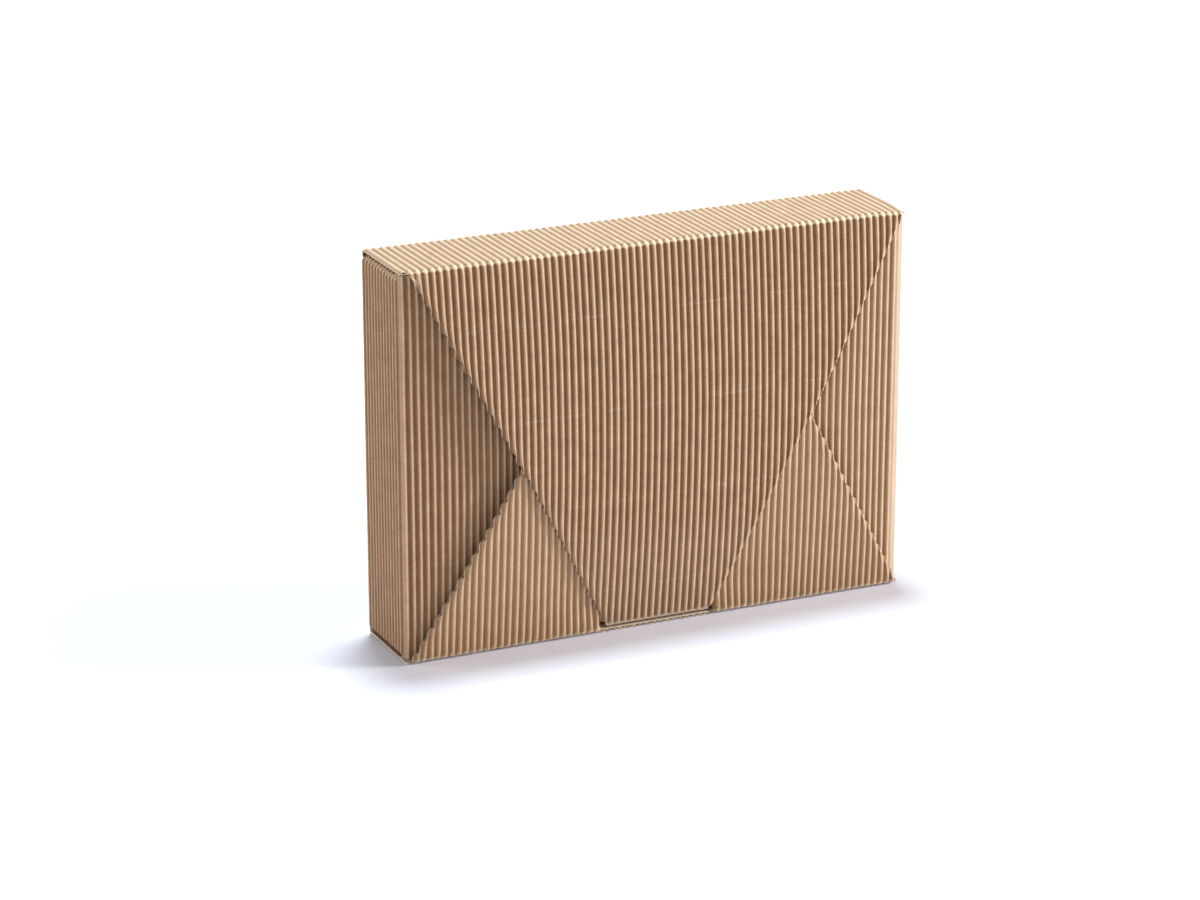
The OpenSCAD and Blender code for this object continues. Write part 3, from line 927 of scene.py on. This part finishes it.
def kraft_paper():
    """Brown kraft paper, mottled, with long fibres across the flutes, rubbed crests, painted shade down in
    the troughs, pale creases and painted light.
    """
    made = bpy.data.materials.get("kraft_paper")
    if made:
        return made
    p = bpy.context.scene.mailer_paper
    made, n, shader = new_paper("kraft_paper")
    # Painted shade: the colour darkens from the crests over the sides of the flutes down to the troughs
    lift = n.value_of("flute_lift")
    colour = n.mix(n.spread(lift, 0.0, 0.8), p.painted_trough_shade, p.middle)
    colour = n.mix(n.spread(lift, 0.52, 0.98), colour, p.light)
    mottle = n.spread(n.noise(MOTTLE_SCALE, 4), 0.3, 0.7)
    fibres = n.spread(n.noise(FIBRE_SCALE, 3, ALONG_FIBRES), 0.36, 0.64, 0.0, 0.8)
    specks = n.spread(n.noise(SPECK_SCALE, 2), 0.66, 0.74, 0.0, 0.35)
    for pattern, change in ((mottle, MOTTLED), (fibres, FIBROUS), (specks, SPECKED)):
        colour = n.mix(pattern, colour, n.mix(1.0, colour, change, "MULTIPLY"))
    # Painted fill light: a paler, warmer brown mixed into some pieces
    colour = n.mix(n.value_of("handled"), colour, p.handled)
    # Pale paper from crushed fibres and from painted light: crest-end highlights, sheen on the top wall, fill
    # light low on the closing flap
    colour = n.mix(n.spread(n.value_of("crease_wear"), 0.3, 1.0, 0.0, 0.6), colour, p.crease)

    # The faint marks across the closing flap, only on the crests of its fluted side
    parts = n.node("ShaderNodeSeparateXYZ")
    n.feed(parts.inputs[0], n.value_of("flat_place", "Vector"))
    along = parts.outputs["Y"]
    ripple = n.math("PINGPONG", n.math("SUBTRACT", along, MARK_START * MM), MARK_SPACING / 2 * MM)
    mark = n.math("MULTIPLY", n.spread(ripple, MARK_NEAR, MARK_FAR, 1.0, 0.0),
                  n.spread(n.noise(MARK_SCALE, 3), 0.42, 0.66, 0.0, MARK_PALE))
    crests = n.math("MULTIPLY", n.math("LESS_THAN", along, 0), n.math("GREATER_THAN", lift, 0.3))
    colour = n.mix(n.math("MULTIPLY", mark, crests), colour, p.crease)
    n.feed(shader.inputs["Base Color"], colour)

    bump = n.node("ShaderNodeBump")
    bump.inputs["Strength"].default_value = BUMP_STRENGTH
    bump.inputs["Distance"].default_value = BUMP_HEIGHT
    n.feed(bump.inputs["Height"], n.noise(BUMP_SCALE, 5, (1.0, 0.35, 1.0)))
    n.feed(shader.inputs["Normal"], bump.outputs["Normal"])
    return made


def cut_paper():
    """The cut edge of the paper, with pale fibres and darker ones between them."""
    made = bpy.data.materials.get("cut_paper")
    if made:
        return made
    p = bpy.context.scene.mailer_paper
    made, n, shader = new_paper("cut_paper")
    n.feed(shader.inputs["Base Color"], n.mix(n.spread(n.noise(EDGE_SCALE, 3), 0.4, 0.8), p.edge, p.middle))
    return made


# Stage

# The photo's view, in millimetres with the front creases at y = 0
CAMERA_AT = (-682.31, -1407.86, 609.63)
CAMERA_TARGET = (-28.8, 0.0, 85.46)
SENSOR_W = 36

# Each round area light: its name, its place and its target in metres, its size, its power and its colour
LIGHTS = (
    ("overhead_light", (0.05, 0.2, 1.5), (0, 0, 0.08), 0.32, "key", (0.82, 0.955, 1.0)),
    ("side_light", (1.3, -0.5, 0.5), (0, 0, 0.09), 0.5, "side", (1.0, 1.0, 0.97)),
    ("left_light", (-1.2, 0.55, 0.6), (0, 0, 0.09), 0.7, "left", (1.0, 1.0, 1.0)),
    ("front_light", (-0.7, -1.2, 0.8), (0, 0, 0.08), 0.2, "front", (1.0, 1.0, 1.0)),
)

# The floor, which far from the box fades to white for the camera
FLOOR_SIZE = 8
FLOOR_COLOUR, FLOOR_GLOW = (0.615, 0.60, 0.665, 1), (0.96, 0.96, 1.0, 1)
FLOOR_FADE = (0.22, 0.6)


class MAILER_OT_stage(bpy.types.Operator):
    """Build the floor, the lights, the surroundings and the camera"""

    bl_idname = "mailer.stage"
    bl_label = "Stage"

    def execute(self, context):
        scene, p = context.scene, context.scene.mailer_stage
        scene.view_settings.view_transform = "Standard"

        bpy.ops.object.select_all(action="DESELECT")
        bpy.ops.mesh.primitive_plane_add(size=FLOOR_SIZE, location=(0, 0, 0))
        floor = context.object
        floor.name = "floor"
        floor.data.materials.append(self.floor_material(p))

        for name, at, target, size, strength, colour in LIGHTS:
            self.light(name, at, target, size, getattr(p, strength), colour)
        self.surroundings(scene, p)
        self.camera(scene, p)
        return {"FINISHED"}

    @staticmethod
    def floor_material(p):
        made = bpy.data.materials.new("white_floor")
        n = Nodes(made)
        shader, out = (made.node_tree.nodes[name] for name in ("Principled BSDF", "Material Output"))
        shader.inputs["Base Color"].default_value = FLOOR_COLOUR
        shader.inputs["Roughness"].default_value = 0.9
        shader.inputs["Specular IOR Level"].default_value = 0.1
        away = n.node("ShaderNodeVectorMath", operation="LENGTH")
        n.feed(away.inputs[0], n.node("ShaderNodeTexCoord").outputs["Object"])
        far = n.spread(away.outputs["Value"], *FLOOR_FADE, p.shade, 1.0, interpolation_type="SMOOTHSTEP")
        glow = n.node("ShaderNodeEmission")
        glow.inputs["Color"].default_value = FLOOR_GLOW
        seen = n.node("ShaderNodeLightPath").outputs["Is Camera Ray"]
        n.feed(glow.inputs["Strength"], n.math("MULTIPLY", seen, far))
        both = n.node("ShaderNodeAddShader")
        n.feed(both.inputs[0], shader.outputs[0])
        n.feed(both.inputs[1], glow.outputs[0])
        n.feed(out.inputs["Surface"], both.outputs[0])
        return made

    @staticmethod
    def light(name, at, target, size, strength, colour):
        lamp = bpy.data.lights.new(name, "AREA")
        lamp.shape, lamp.size, lamp.energy, lamp.color = "DISK", size, strength, colour
        made = bpy.data.objects.new(name, lamp)
        bpy.context.scene.collection.objects.link(made)
        made.location = at
        made.rotation_euler = (Vector(target) - Vector(at)).to_track_quat("-Z", "Y").to_euler()

    @staticmethod
    def surroundings(scene, p):
        """White all round, at full strength where it is seen or mirrored and as a faint fill elsewhere."""
        scene.world = bpy.data.worlds.new("surroundings")
        n = Nodes(scene.world)
        rays = n.node("ShaderNodeLightPath").outputs
        seen = n.math("MAXIMUM", n.math("MAXIMUM", rays["Is Camera Ray"], rays["Is Glossy Ray"]),
                      rays["Is Transmission Ray"])
        background = scene.world.node_tree.nodes["Background"]
        background.inputs["Color"].default_value = (1, 1, 1, 1)
        n.feed(background.inputs["Strength"], n.spread(seen, 0.0, 1.0, p.fill, 1.0))

    @staticmethod
    def camera(scene, p):
        front = CAD_HIGH.y - scene.mailer_fold.depth
        made = bpy.data.objects.new("camera", bpy.data.cameras.new("camera"))
        scene.collection.objects.link(made)
        made.data.lens, made.data.sensor_width = p.lens, SENSOR_W
        at, target = (Vector((x * MM, y * MM + front, z * MM)) for x, y, z in (CAMERA_AT, CAMERA_TARGET))
        made.location = at
        made.rotation_euler = (target - at).to_track_quat("-Z", "Y").to_euler()
        made.data.clip_start, made.data.clip_end = 0.05, 50
        scene.camera = made


class MAILER_PT_panel(bpy.types.Panel):
    """Lists the steps that build the box"""

    bl_idname = "MAILER_PT_panel"
    bl_label = "Mailer Box"
    bl_space_type = "VIEW_3D"
    bl_region_type = "UI"
    bl_category = "Mailer Box"

    def draw(self, context):
        for step in STEPS:
            self.layout.operator(step.bl_idname)
        for group in GROUPS:
            box = self.layout.box()
            props = getattr(context.scene, group)
            for key in type(props).__annotations__:
                box.prop(props, key)


GROUPS = {
    "mailer_board": BoardProps,
    "mailer_fold": FoldProps,
    "mailer_paper": PaperProps,
    "mailer_stage": StageProps,
}
STEPS = (MAILER_OT_lid, MAILER_OT_back, MAILER_OT_sides, MAILER_OT_bottom_flap, MAILER_OT_stage)
CLASSES = (*GROUPS.values(), *STEPS, MAILER_PT_panel)


def register():
    for cls in CLASSES:
        bpy.utils.register_class(cls)
    for name, group in GROUPS.items():
        setattr(bpy.types.Scene, name, bpy.props.PointerProperty(type=group))


def unregister():
    for name in GROUPS:
        delattr(bpy.types.Scene, name)
    for cls in reversed(CLASSES):
        bpy.utils.unregister_class(cls)


def main():
    register()
    for step in STEPS:
        group, name = step.bl_idname.split(".")
        getattr(getattr(bpy.ops, group), name)()


if __name__ == "__main__":
    main()
